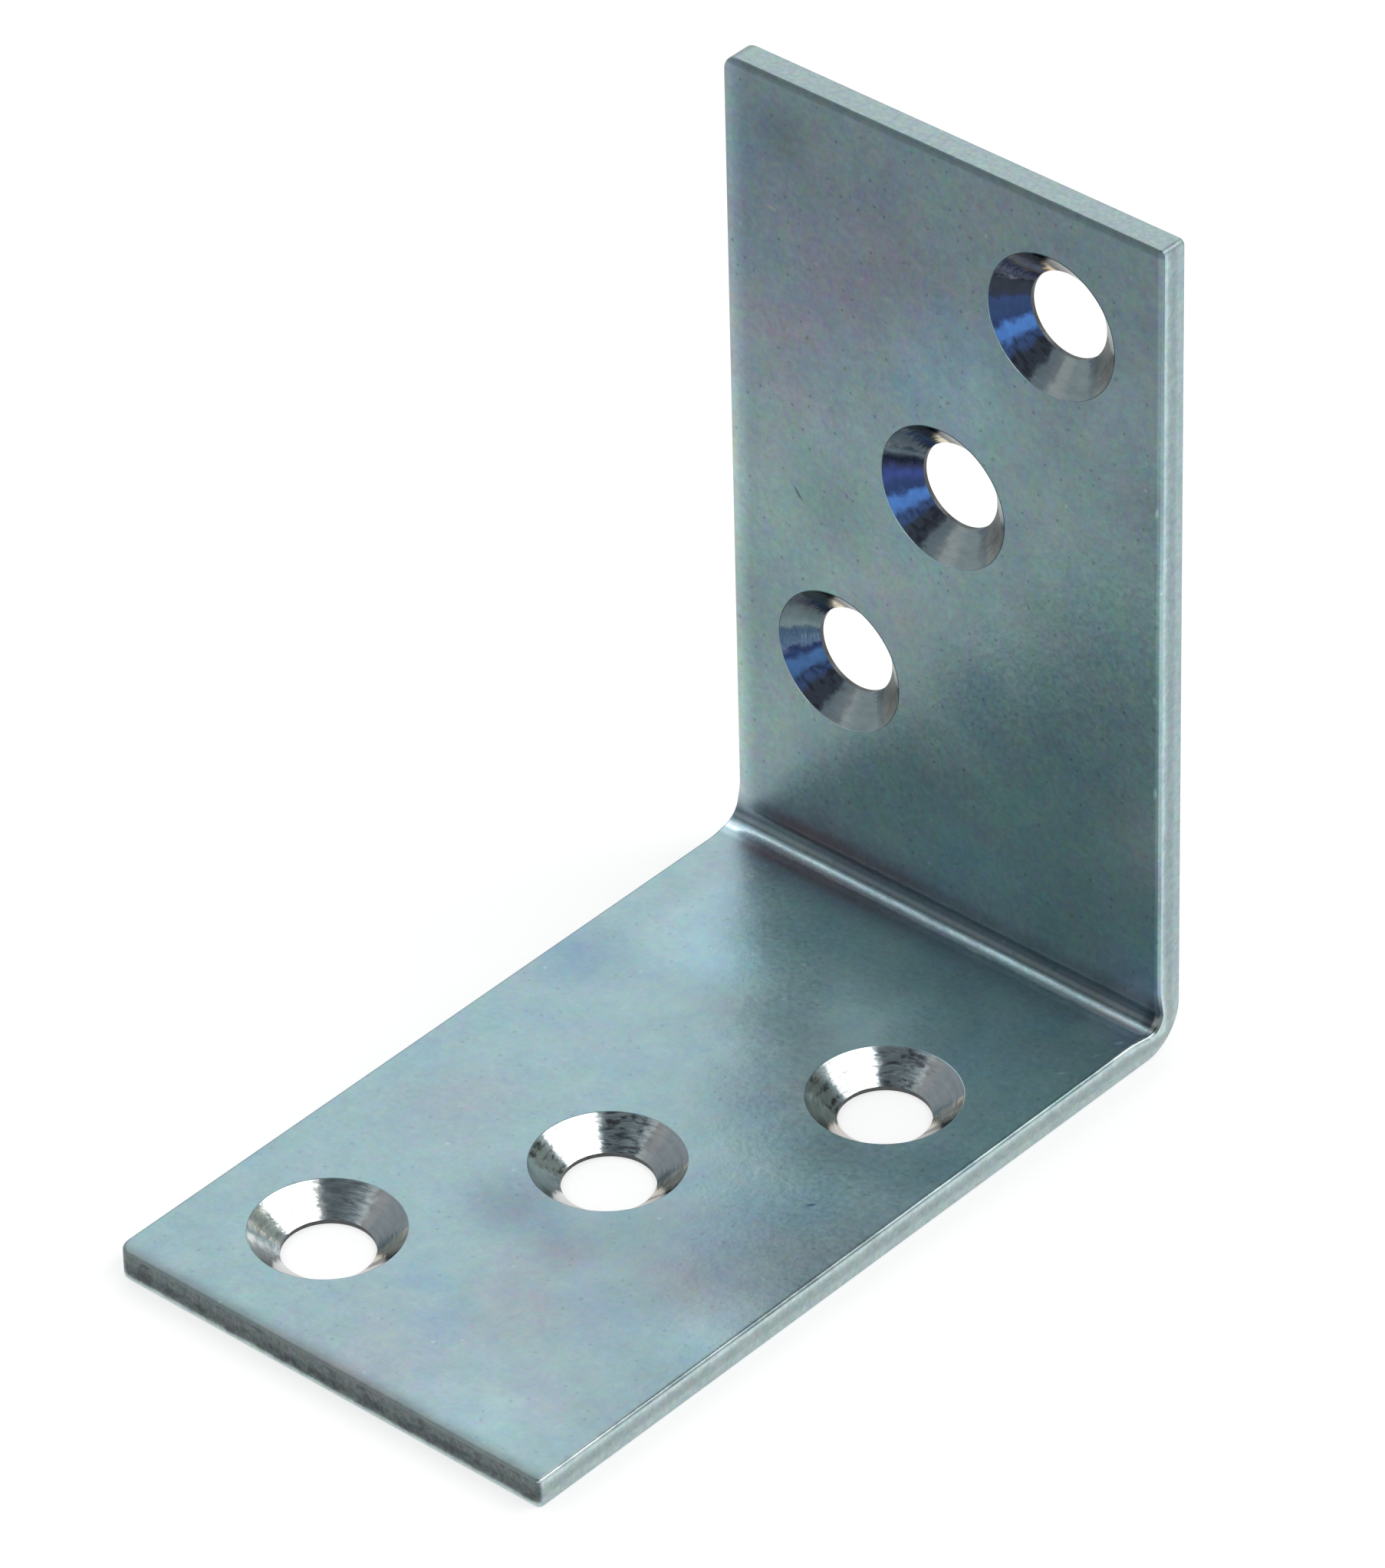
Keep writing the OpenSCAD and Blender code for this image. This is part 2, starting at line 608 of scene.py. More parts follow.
class ShaderBench:
    """One node tree, with short calls for the nodes that the finishes and the studio use."""

    def __init__(self, tree: bpy.types.NodeTree) -> None:
        """Takes the node tree and empties it.

        Args:
            tree: Node tree of a material or of the world.
        """
        self.tree = tree
        self.tree.nodes.clear()

    @classmethod
    def material(cls, name: str) -> tuple["ShaderBench", bpy.types.Material]:
        """Makes a material.

        Args:
            name: The material's name.

        Returns:
            Its bench, and the material.
        """
        material = bpy.data.materials.new(name)
        material.use_nodes = True
        return cls(material.node_tree), material

    def add(self, kind: str, settings: dict[str, Any], inputs: dict[Any, Any]) -> bpy.types.Node:
        """Adds a node.

        Args:
            kind: Blender's name for the type of node.
            settings: The node's own settings, set first.
            inputs: Values, numbers or sockets by the input's name or place.

        Returns:
            The node.
        """
        node = self.tree.nodes.new(kind)
        for name, value in settings.items():
            setattr(node, name, value)
        for key, value in inputs.items():
            value = value.socket if isinstance(value, Num) else value
            if isinstance(value, bpy.types.NodeSocket):
                self.tree.links.new(value, node.inputs[key])
            else:
                node.inputs[key].default_value = value
        return node

    def place(self) -> Any:
        """Gives the Object coordinates."""
        return self.add("ShaderNodeTexCoord", {}, {}).outputs["Object"]

    def split(self, vector: Any) -> tuple[Num, Num, Num]:
        """Gives the three parts of a vector."""
        outputs = self.add("ShaderNodeSeparateXYZ", {}, {"Vector": vector}).outputs
        return Num(self, outputs["X"]), Num(self, outputs["Y"]), Num(self, outputs["Z"])

    def join(self, x: Num, y: Num, z: Num) -> Any:
        """Gives the vector of three numbers."""
        return self.add("ShaderNodeCombineXYZ", {}, {"X": x, "Y": y, "Z": z}).outputs[0]

    def stretch(self, vector: Any, scale: Sequence[float]) -> Any:
        """Scales a vector along each axis."""
        inputs = {0: vector, 1: tuple(scale)}
        return self.add("ShaderNodeVectorMath", {"operation": "MULTIPLY"}, inputs).outputs[0]

    def noise(self, vector: Any, scale: float, detail: float = 2.0, roughness: float = 0.5) -> Num:
        """Gives smooth random values.

        Args:
            vector: Coordinates.
            scale: Waves to the metre.
            detail: Octaves.
            roughness: Share of the finer octaves.

        Returns:
            Values round 0.5.
        """
        inputs = {"Vector": vector, "Scale": scale, "Detail": detail, "Roughness": roughness}
        return Num(self, self.add("ShaderNodeTexNoise", {}, inputs).outputs["Fac"])

    def speckle(self, vector: Any, scale: float) -> Any:
        """Gives smooth random colours round middle gray."""
        inputs = {"Vector": vector, "Scale": scale, "Detail": 2.0, "Roughness": 0.6}
        return self.add("ShaderNodeTexNoise", {}, inputs).outputs["Color"]

    def dots(self, vector: Any, scale: float, radius: float, share: float) -> Num:
        """Gives scattered round dots.

        Args:
            vector: Coordinates.
            scale: Cells to the metre, each with one dot at most.
            radius: Radius of the dots, as a share of a cell.
            share: Share of the cells that have a dot.

        Returns:
            1 on the dots and 0 beside them.
        """
        cells = self.add("ShaderNodeTexVoronoi", {}, {"Vector": vector, "Scale": scale}).outputs
        chosen = self.split(cells["Color"])[0].step(1.0 - share - 0.01, 1.0 - share + 0.01)
        return Num(self, cells["Distance"]).step(radius * 1.4, radius * 0.7) * chosen

    def mix(self, factor: Any, first: Any, second: Any, blend: str = "MIX") -> Any:
        """Mixes two colours.

        Args:
            factor: Share of the second.
            first: First colour, as a socket or as red, green and blue.
            second: Second colour.
            blend: Way of mixing.

        Returns:
            The mixed colour's socket.
        """
        tone = [(*c, 1.0) if isinstance(c, tuple) else c for c in (first, second)]
        settings = {"data_type": "RGBA", "blend_type": blend}
        node = self.add("ShaderNodeMix", settings, {0: factor, 6: tone[0], 7: tone[1]})
        return node.outputs[2]

    def gray(self, value: Num) -> Any:
        """Gives the gray colour of a number."""
        inputs = {"Red": value, "Green": value, "Blue": value}
        return self.add("ShaderNodeCombineColor", {}, inputs).outputs["Color"]

    def shade(self, tone: Any, factor: Num) -> Any:
        """Multiplies a colour by a number."""
        return self.mix(1.0, tone, self.gray(factor), "MULTIPLY")

    def stain(self, tone: Any, mask: Any, tint: Color) -> Any:
        """Multiplies a colour by a tint where a mask is 1."""
        return self.mix(mask, tone, self.mix(1.0, tone, tint, "MULTIPLY"))

    def bump(self, height: Num, distance: float) -> Any:
        """Gives a normal bent by a height, in units of distance."""
        inputs = {"Height": height, "Distance": distance}
        return self.add("ShaderNodeBump", {}, inputs).outputs["Normal"]

    def metal(self, tone: Any, roughness: Any, normal: Any, skimmed: float = 1.0) -> None:
        """Adds a bare metal shader and the output.

        Args:
            tone: The metal's colour.
            roughness: Its roughness.
            normal: Its bent normal.
            skimmed: How bright it is where the view skims it.
        """
        inputs = {"Base Color": tone, "Metallic": 1.0, "Roughness": roughness, "Normal": normal}
        inputs["Specular Tint"] = (skimmed, skimmed, skimmed, 1.0)
        shader = self.add("ShaderNodeBsdfPrincipled", {}, inputs)
        self.add("ShaderNodeOutputMaterial", {}, {"Surface": shader.outputs["BSDF"]})


class Leg(Enum):
    """The two legs, by where their inner faces lie along Z and along Y."""

    BASE = 2.0 * MM
    UPRIGHT = 28.0 * MM

    def lay(self, across: float, along: float, through: float) -> tuple[float, float, float]:
        """Turns what is measured across, along and through the leg into X, Y and Z."""
        return (across, along, through) if self is Leg.BASE else (across, through, along)


@dataclass(frozen=True)
class Patch:
    """Soft round patch, in millimetres: tarnish where its tint changes the hue, painted light where it
    only lightens and painted shade where it only darkens.

    Attributes:
        leg: The leg that it is on.
        across: Where its middle lies across the leg.
        along: Where its middle lies along the leg.
        radius: Its radius.
        tint: What it multiplies the plating's colour by.
    """

    leg: Leg
    across: float
    along: float
    radius: float
    tint: Color

    def mask(self, b: ShaderBench, place: Any) -> Num:
        """Gives 1 at the patch's middle and 0 from its radius on.

        Args:
            b: Bench of the plating.
            place: Object coordinates.

        Returns:
            The mask.
        """
        center = self.leg.lay(self.across * MM, self.along * MM, self.leg.value)
        apart = b.add("ShaderNodeVectorMath", {"operation": "DISTANCE"}, {0: place, 1: center})
        return Num(b, apart.outputs["Value"]).step(self.radius * MM, 0.0)


@dataclass(frozen=True)
class NickAndGlint:
    """Short mark in the plating, in millimetres: a scratch; the pale marks along the right edges are
    painted glints.

    Attributes:
        leg: The leg that it is on.
        across: Where its middle lies across the leg.
        along: Where its middle lies along the leg.
        length: Half of its length.
        breadth: Half of its breadth.
        turn: How it is turned in the leg's face, in radians.
        tint: What it multiplies the plating's colour by.
    """

    leg: Leg
    across: float
    along: float
    length: float
    breadth: float
    turn: float
    tint: Color

    def mask(self, b: ShaderBench, place: Any) -> Num:
        """Gives 1 along the mark's middle and 0 from its edge on.

        Args:
            b: Bench of the plating.
            place: Object coordinates.

        Returns:
            The mask.
        """
        inputs = {
            "Vector": place,
            "Location": self.leg.lay(self.across * MM, self.along * MM, self.leg.value),
            "Rotation": self.leg.lay(0.0, 0.0, self.turn),
            "Scale": self.leg.lay(self.length * MM, self.breadth * MM, 1.0 * MM),
        }
        local = b.add("ShaderNodeMapping", {"vector_type": "TEXTURE"}, inputs).outputs[0]
        length = b.add("ShaderNodeVectorMath", {"operation": "LENGTH"}, {0: local}).outputs["Value"]
        return Num(b, length).step(1.0, 0.3)


@dataclass(frozen=True)
class PlatedFinish:
    """Bright zinc plating on the rolled faces, with a faint sheen of blue and rose.

    Attributes:
        sizes: Sizes of the strip.
        name: The material's name.
        patches: Patches of tarnish, painted light and painted shade.
        nicks_and_glints: Scratches, and painted glints along the right edges.
        corner: Whether the face has the bend's stains and the painted light and shade of the bend and
            the rolled edges.
        tone: Colour of the plating.
        roughness: Mean roughness.
        BLUE, ROSE: Tints of the sheen.
        DARK, PALE: Tints of the specks.
        DULL, RUST, SHADE, HIGHLIGHT: Tints of the stripes along the bend, outer ones first: dull and
            rusty stains, then painted shade in the bend's hollow and a painted highlight line.
        UPRIGHT: Tint of the upright leg's lower half.
        END_EDGE_SHADE, LEFT_EDGE_LIGHT, RIGHT_EDGE_SHADE: Painted shade along the leg's end, painted
        light along the left side and painted shade along the right side.
        GLINT: Colour of the painted glint on the right edge.
        RELIEF: Height of the finest unevenness.
    """

    sizes: StripSizes
    name: str
    patches: tuple[Patch, ...] = ()
    nicks_and_glints: tuple[NickAndGlint, ...] = ()
    corner: bool = False
    tone: Color = (0.228, 0.322, 0.348)
    roughness: float = 0.32

    BLUE = (0.82, 0.90, 1.03)
    ROSE = (1.03, 0.87, 0.91)
    DARK = (0.66, 0.65, 0.68)
    PALE = (1.30, 1.22, 1.20)
    DULL = (0.85, 0.80, 0.88)
    RUST = (0.98, 0.68, 0.66)
    SHADE = (0.22, 0.225, 0.25)
    HIGHLIGHT = (3.15, 2.72, 2.65)
    UPRIGHT = (0.985, 1.0, 0.95)
    END_EDGE_SHADE = (0.90, 0.82, 0.77)
    LEFT_EDGE_LIGHT = (1.30, 1.18, 1.10)
    RIGHT_EDGE_SHADE = (0.66, 0.65, 0.62)
    GLINT = (0.70, 0.78, 0.78)
    RELIEF = 0.05 * MM

    def make(self) -> bpy.types.Material:
        """Builds the material.

        Returns:
            The material.
        """
        b, material = ShaderBench.material(self.name)
        place = b.place()
        x, y, z = b.split(place)
        wide = b.noise(place, 90.0, 2.0)
        mottle = b.noise(place, 420.0, 3.0, 0.6)
        grain = b.noise(place, 2600.0, 3.0, 0.7)
        blue = b.noise(b.stretch(place, (1.0, 1.3, 0.8)), 130.0, 3.0).step(0.50, 0.72) * 0.6
        rose = b.noise(b.stretch(place, (0.8, 1.0, 1.1)), 110.0, 3.0).step(0.52, 0.74) * 0.6
        tone = b.stain(b.stain(self.tone, blue, self.BLUE), rose, self.ROSE)
        # Patches of tarnish, and painted light and shade where a patch only lightens or darkens.
        for patch in self.patches:
            mask = patch.mask(b, place) * (mottle * 0.8 + 0.6)
            tone = b.stain(tone, mask.clamped(), patch.tint)
        # Painted shade: the upright leg darker towards its top, and a little darker than the base leg.
        tone = b.shade(tone, 1.0 - z.step(0.026, 0.056) * 0.36 - z.step(0.003, 0.009) * 0.03)
        tone = b.stain(tone, z.band(0.006, 0.036, 0.01), self.UPRIGHT)
        hazy = z.step(0.002, 0.008) * 0.08 + 0.12
        tone = b.mix(hazy, tone, b.speckle(place, 420.0), "SOFT_LIGHT")
        tone = b.mix(hazy * 1.6, tone, b.speckle(place, 1500.0), "SOFT_LIGHT")
        tone = b.stain(tone, b.dots(place, 1150.0, 0.13, 0.6) * (hazy * 5.0 - 0.15), self.DARK)
        tone = b.stain(tone, b.dots(place, 800.0, 0.10, 0.12), self.PALE)
        # Scratches, and painted glints where a mark lightens the right edges.
        for nick_and_glint in self.nicks_and_glints:
            tone = b.stain(tone, nick_and_glint.mask(b, place), nick_and_glint.tint)
        tone = b.shade(tone, (wide - 0.5) * 0.2 + (mottle - 0.5) * 0.16 + (grain - 0.5) * 0.5 + 1.0)
        rough = (wide - 0.5) * 0.1 + (grain - 0.5) * 0.2 + self.roughness
        if self.corner:
            tone, rough = self.stains_and_painted_light(b, (x, y, z), mottle, tone, rough)
        normal = b.bump(mottle * 0.5 + grain * 0.2, self.RELIEF)
        b.metal(tone, rough, normal)
        return material

    def stains_and_painted_light(
        self, b: ShaderBench, place: tuple[Num, Num, Num], mottle: Num, tone: Any, rough: Num
    ) -> tuple[Any, Num]:
        """Adds the dull and rusty stains along the bend, and painted light and shade along the bend and
        the rolled edges.

        Args:
            b: The material's bench.
            place: The three Object coordinates.
            mottle: Random values that make the borders uneven.
            tone: Colour so far.
            rough: Roughness so far.

        Returns:
            The colour and the roughness.
        """
        x, y, z = place
        s = self.sizes
        along = (y + z - s.back_y) * TO_MM + (mottle - 0.5) * 0.3
        left = x.step(0.010, -0.017)
        low = z.step(3.4 * MM, 2.6 * MM)
        # Painted light: the base leg lighter towards the bend, most on its right half.
        lift = x.step(0.0, 0.012) * y.band(0.0, 0.0235, 0.012) * 0.55
        lift = lift + x.band(-0.0125, 0.003, 0.007) * y.band(0.0145, 0.0245, 0.006) * 0.38
        tone = b.shade(tone, low * lift + 1.0)
        inner = x.step(-0.0168, -0.0138)
        dull = along.band(-3.4, -1.3, 1.4).over(along.band(1.0, 3.0, 2.2)) * (left * 0.6 + 0.4)
        tone = b.stain(tone, dull * inner, self.DULL)
        rust = along.band(-2.5, -1.4, 0.9).over(along.band(0.9, 2.0, 0.9))
        tone = b.stain(tone, rust * left * inner, self.RUST)
        # Painted shade in the bend's hollow, lighter towards the left end and darker towards the right.
        deep = along.step(-0.75, -0.3) * 0.86 + along.step(0.1, 0.45) * 0.14
        deep = deep * (along.step(0.95, 0.5) * 0.2 + along.step(2.7, 1.0) * 0.8)
        tone = b.stain(tone, deep, self.SHADE)
        lighter = x.step(-0.006, -0.015) * 0.32 + x.step(-0.0150, -0.0166) * 0.5
        tone = b.shade(tone, 1.0 + deep * (lighter - x.step(0.0, 0.015) * 0.12))
        tone = b.shade(tone, 1.0 - deep * x.step(0.0162, 0.0170) * 0.5)
        # Painted highlight along the bend, with a painted lighter band on its base-leg side.
        highlight_line = along.band(-1.32, -0.68, 0.4) * (x.step(-0.0165, -0.009) * 0.45 + 0.55)
        tone = b.stain(tone, highlight_line, self.HIGHLIGHT)
        tone = b.shade(tone, along.band(-1.95, -1.1, 0.4) * 0.36 + 1.0)
        rough = rough - along.band(-1.3, 1.3, 0.5) * 0.12
        # Painted shade along the base leg's rolled end.
        end = (y - s.end_y) * TO_MM + (mottle - 0.5) * 0.4
        tone = b.shade(tone, 1.0 - end.step(1.5, 0.1) * 0.26)
        tone = b.stain(tone, end.step(0.9, 0.15), self.END_EDGE_SHADE)
        # Painted shade along the upright leg's rolled top edge.
        top = (s.top_z - z) * TO_MM + (mottle - 0.5) * 0.15
        tone = b.shade(tone, 1.0 - top.step(0.62, 0.34) * 0.28)
        # Painted light along the rolled left edge of the upright leg and the bend.
        side = (x + s.half) * TO_MM + (mottle - 0.5) * 0.5
        tone = b.shade(tone, (1.0 - low) * side.step(1.8, 0.5) * 0.36 + 1.0)
        tone = b.stain(tone, (1.0 - low) * side.step(0.9, 0.3), self.LEFT_EDGE_LIGHT)
        # Painted light along the upright leg's rolled right edge, painted shade along the base leg's.
        near = (s.half - x) * TO_MM
        tone = b.shade(tone, (1.0 - low) * near.step(0.5, 0.25) * 0.45 + 1.0)
        tone = b.stain(tone, low * near.step(0.38, 0.2), self.RIGHT_EDGE_SHADE)
        # Painted glint, broken into spots, along the base leg's rolled right edge.
        glint_spots = y.step(-0.018, -0.029) * 0.4 + y.band(0.0235, 0.0268, 0.001) * 0.5 + mottle * 1.2 - 0.46
        glint = near.step(0.35, 0.15) * low * glint_spots
        tone = b.mix(glint.clamped(), tone, self.GLINT)
        return tone, rough


@dataclass(frozen=True)
class ShearedFinish:
    """Plating over the sheared edges: even along the sides, dark and torn across the base leg's end.

    Attributes:
        sizes: Sizes of the strip.
        tone: Colour of the side edges.
        upright: Colour of the upright leg's side edges, a little darker than tone as painted shade.
        top: Colour of the upright leg's top edge, darker as painted shade.
        torn: Colour of the torn end.
        fringe: Colour of the burr along the torn end.
        roughness: Mean roughness.
        PITS: Tint of the torn end's pits.
        RELIEF: Height of the finest unevenness.
    """

    sizes: StripSizes
    tone: Color = (0.41, 0.505, 0.510)
    upright: Color = (0.36, 0.465, 0.485)
    top: Color = (0.268, 0.335, 0.343)
    torn: Color = (0.116, 0.140, 0.142)
    fringe: Color = (0.62, 0.76, 0.74)
    roughness: float = 0.42

    PITS = (0.55, 0.55, 0.60)
    RELIEF = 0.06 * MM

    def make(self) -> bpy.types.Material:
        """Builds the material.

        Returns:
            The material.
        """
        b, material = ShaderBench.material("zinc_plated_edge")
        s = self.sizes
        place = b.place()
        _, y, z = b.split(place)
        streak = b.noise(place, 700.0, 3.0, 0.6)
        grain = b.noise(place, 3000.0, 2.0, 0.6)
        through = z.op("MINIMUM", s.back_y - y) * (1.0 / s.thickness) + (streak - 0.5) * 0.16
        # Painted shade: the upright leg's side edges a little darker than the base leg's.
        tone = b.mix(z.step(3.0 * MM, 8.0 * MM), self.tone, self.upright)
        facing = 1.0 - through.band(0.35, 0.68, 0.2) * 0.18 + through.step(0.74, 0.84) * 0.3
        tone = b.shade(tone, facing)
        # Painted shade on the upright leg's top edge.
        tone = b.mix(z.step(s.top_z - 0.4 * MM, s.top_z - 0.1 * MM), tone, self.top)
        end = y.step(s.end_y + 0.35 * MM, s.end_y + 0.1 * MM)
        torn = b.shade(self.torn, (grain - 0.5) * 0.9 + 1.12 - through.band(0.28, 0.58, 0.16) * 0.25)
        torn = b.stain(torn, streak.step(0.48, 0.64) * 0.8, self.PITS)
        torn = b.mix(through.step(0.24, 0.03) * 0.85, torn, self.fringe)
        tone = b.mix(end, tone, torn)
        tone = b.mix(0.28, tone, b.speckle(place, 1500.0), "SOFT_LIGHT")
        tone = b.shade(tone, (grain - 0.5) * 0.5 + (streak - 0.5) * 0.3 + 1.0)
        normal = b.bump(streak * 0.5 + grain * 0.3, self.RELIEF)
        b.metal(tone, (streak - 0.5) * 0.2 + self.roughness, normal)
        return material


@dataclass(frozen=True)
class ReflectionBand:
    """Sector of a countersink with a painted reflection as its tone.

    Attributes:
        start: Where it starts, in degrees from the right.
        end: Where it ends.
        tone: Its colour.
    """

    start: float
    end: float
    tone: Color


@dataclass(frozen=True)
class TurnedFinish:
    """Turned countersinks with chatter marks; their light, dark and, on the upright leg, blue sectors
    are painted reflections.

    Attributes:
        base_tone: Colour of the base leg's countersinks.
        base_reflections: Their sectors of painted reflection.
        upright_tone: Colour of the upright leg's countersinks, darker than the base leg's as painted
            shade.
        upright_reflections: Their sectors of painted reflection.
        topmost_reflections: Sectors of painted reflection of the upright leg's topmost countersink
            alone.
        roughness: Mean roughness.
        SOFT: Width of the borders between the sectors, in degrees.
        PALE, BLUE_REFLECTION, DIM: Painted reflections that the upright leg's lowest countersink has
            instead.
        CHATTER_AND_SHADE: Tint of the dark chatter marks, which are laid only in the sectors where they
            add painted shade.
        SKIMMED: Brightness where the view skims the cone.
        RELIEF: Height of the tool's marks.
    """

    base_tone: Color = (0.48, 0.44, 0.38)
    base_reflections: tuple[ReflectionBand, ...] = (
        ReflectionBand(-20, 12, (0.13, 0.135, 0.13)),
        ReflectionBand(11, 25, (0.78, 0.73, 0.63)),
        ReflectionBand(38, 98, (0.205, 0.235, 0.255)),
        ReflectionBand(93, 142, (0.36, 0.45, 0.49)),
        ReflectionBand(138, 196, (0.72, 0.75, 0.76)),
        ReflectionBand(192, 221, (0.60, 0.54, 0.49)),
        ReflectionBand(216, 275, (0.98, 0.92, 0.84)),
    )
    upright_tone: Color = (0.11, 0.17, 0.16)
    upright_reflections: tuple[ReflectionBand, ...] = (
        ReflectionBand(70, 99, (0.080, 0.074, 0.072)),
        ReflectionBand(96, 110, (0.055, 0.048, 0.047)),
        ReflectionBand(107, 134, (1.0, 0.90, 0.66)),
        ReflectionBand(130, 157, (0.64, 0.60, 0.65)),
        ReflectionBand(155, 169, (0.155, 0.20, 0.25)),
        ReflectionBand(166, 186, (0.034, 0.042, 0.080)),
        ReflectionBand(179, 195, (0.044, 0.070, 0.23)),
        ReflectionBand(190, 207, (0.030, 0.052, 0.14)),
        ReflectionBand(203, 222, (0.080, 0.205, 0.54)),
        ReflectionBand(217, 233, (0.045, 0.080, 0.19)),
        ReflectionBand(228, 254, (0.036, 0.044, 0.060)),
        ReflectionBand(250, 272, (0.112, 0.147, 0.170)),
        ReflectionBand(267, 322, (0.185, 0.232, 0.250)),
        ReflectionBand(317, 356, (0.27, 0.29, 0.28)),
    )
    topmost_reflections: tuple[ReflectionBand, ...] = (
        ReflectionBand(112, 136, (0.86, 0.58, 0.36)),
        ReflectionBand(134, 153, (0.18, 0.19, 0.29)),
        ReflectionBand(151, 172, (0.034, 0.042, 0.058)),
        ReflectionBand(178, 196, (0.034, 0.062, 0.145)),
    )
    roughness: float = 0.18

    SOFT = 9.0
    PALE = (0.93, 0.90, 0.88)
    BLUE_REFLECTION = (0.24, 0.33, 0.49)
    DIM = (0.75, 0.68, 0.58)
    CHATTER_AND_SHADE = (0.30, 0.28, 0.30)
    SKIMMED = 0.68
    RELIEF = 0.03 * MM

    def make(self) -> bpy.types.Material:
        """Builds the material.

        Returns:
            The material.
        """
        b, material = ShaderBench.material("turned_countersink")
        place = b.place()
        u, v, _ = b.split(b.add("ShaderNodeUVMap", {"uv_map": "Turning"}, {}).outputs["UV"])
        reach = (u * u + v * v) ** 0.5
        turn = (v * -1.0).op("ARCTAN2", u * -1.0) * (180.0 / math.pi) + 180.0
        ragged = b.noise(place, 1300.0, 2.0, 0.6)
        wander = b.noise(place, 160.0, 1.0)
        degrees = turn + (ragged - 0.5) * 16.0 + (wander - 0.5) * 14.0
        chatter = b.noise(b.join(turn * 0.035, reach * 16.0, wander * 8.0), 1.0, 2.0, 0.6)
        blotch = b.noise(b.join(turn * 0.07, reach * 13.0, wander * 9.0), 1.0, 2.0, 0.6)
        _, y, z = b.split(place)
        # Painted reflections: sectors of light, dark and blue round each cone.
        base = self.paint_reflections(b, degrees, self.base_tone, self.base_reflections)
        upright = self.paint_reflections(b, degrees, self.upright_tone, self.upright_reflections)
        # Painted light and shade: the base leg's countersink nearest the end lighter in the lower half
        # of its cone, the one nearest the bend a little darker.
        base = b.shade(base, degrees.step(188, 198) * (y.step(0.004, -0.018) * 0.8 - 0.05) + 1.0)
        # Painted reflections that differ in the upright leg's lowest and topmost countersinks.
        lowest = z.step(0.028, 0.022)
        upright = b.mix(degrees.band(142, 174, self.SOFT) * lowest * 0.85, upright, self.PALE)
        upright = b.mix(degrees.band(172, 192, self.SOFT) * lowest, upright, self.BLUE_REFLECTION)
        upright = b.stain(upright, degrees.band(200, 222, self.SOFT) * lowest, self.DIM)
        upright = self.paint_reflections(b, degrees, upright, self.topmost_reflections, z.step(0.040, 0.046))
        high = z.step(0.004, 0.006)
        tone = b.mix(high, base, upright)
        # Dark chatter marks, laid only in the sectors where they add painted shade.
        chatter_shade_sectors = degrees.band(96, 134, 8.0).over(degrees.band(188, 214, 8.0)) * (1.0 - high)
        chatter_shade_sectors = chatter_shade_sectors.over(degrees.band(218, 250, 8.0) * high)
        dark = chatter.step(0.50, 0.68).over(blotch.step(0.50, 0.68)) * chatter_shade_sectors
        dark = dark * (1.0 - y.step(-0.010, -0.018) * (1.0 - high) * 0.6 - high * 0.35)
        tone = b.stain(tone, dark, self.CHATTER_AND_SHADE)
        tone = b.shade(tone, (chatter - 0.5) * 0.5 + (ragged - 0.5) * 0.3 + 1.0)
        normal = b.bump(chatter * 0.8 + ragged * 0.4, self.RELIEF)
        rough = (ragged - 0.5) * 0.16 + degrees.band(306, 356, 8.0) * high * 0.25 + self.roughness
        b.metal(tone, rough, normal, self.SKIMMED)
        return material

    def paint_reflections(
        self, b: ShaderBench, degrees: Num, tone: Any, bands: Sequence[ReflectionBand], where: Any = 1.0
    ) -> Any:
        """Lays sectors of painted reflection over a colour.

        Args:
            b: The material's bench.
            degrees: Turn round the hole.
            tone: Colour so far.
            bands: The sectors, from the lowest layer to the top one.
            where: Mask of the holes that have them.

        Returns:
            The colour with the sectors.
        """
        for band in bands:
            tone = b.mix(degrees.band(band.start, band.end, self.SOFT) * where, tone, band.tone)
        return tone


@dataclass(frozen=True)
class LandFinish:
    """Dark straight wall of the screw holes.

    Attributes:
        tone: Colour of the wall.
        roughness: Mean roughness.
        RELIEF: Height of the finest unevenness.
    """

    tone: Color = (0.10, 0.105, 0.105)
    roughness: float = 0.45

    RELIEF = 0.03 * MM

    def make(self) -> bpy.types.Material:
        """Builds the material.

        Returns:
            The material.
        """
        b, material = ShaderBench.material("hole_wall")
        grain = b.noise(b.place(), 3000.0, 2.0)
        tone = b.shade(self.tone, (grain - 0.5) * 0.8 + 1.0)
        b.metal(tone, (grain - 0.5) * 0.2 + self.roughness, b.bump(grain, self.RELIEF))
        return material


